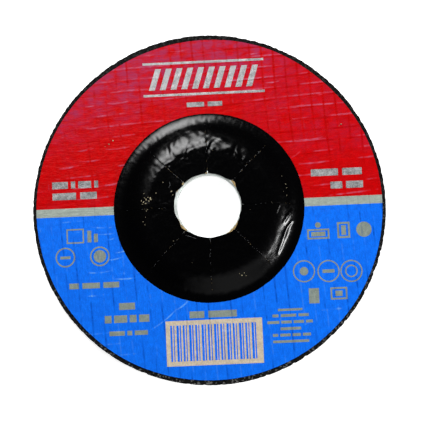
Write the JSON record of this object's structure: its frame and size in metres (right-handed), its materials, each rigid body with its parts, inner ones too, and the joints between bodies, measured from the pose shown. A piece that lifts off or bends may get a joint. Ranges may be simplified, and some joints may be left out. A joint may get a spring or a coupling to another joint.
{
  "type": "grinding disc",
  "caption": "Depressed-centre grinding disc: flat abrasive rim, raised dished hub with a steel-lined bore, and a paper label printed red, blue and black.",
  "frame": {"origin": "centre of the grinding face, on the spin axis, where the disc lies on a surface", "axes": "+Z along the spin axis, out of the labelled hub; +X along the label's silver band; +Y towards the red half"},
  "size_m": [0.125, 0.125, 0.0088],
  "materials": {
    "abrasive": "rough resin-bonded grit",
    "ring_steel": "pressed sheet steel",
    "label_black": "glossy black print on paper",
    "silver_ink": "silver-grey satin print",
    "red_ink": "satin red print",
    "blue_ink": "satin blue print",
    "pale_ink": "satin cream print"
  },
  "bodies": {
    "root": {"abrasive_disc": "abrasive", "bore_ring": "ring_steel", "label_sheet": "label_black", "silver_print": "silver_ink", "red_print": "red_ink", "blue_print": "blue_ink", "panel_print": "pale_ink"}
  },
  "joints": []
}
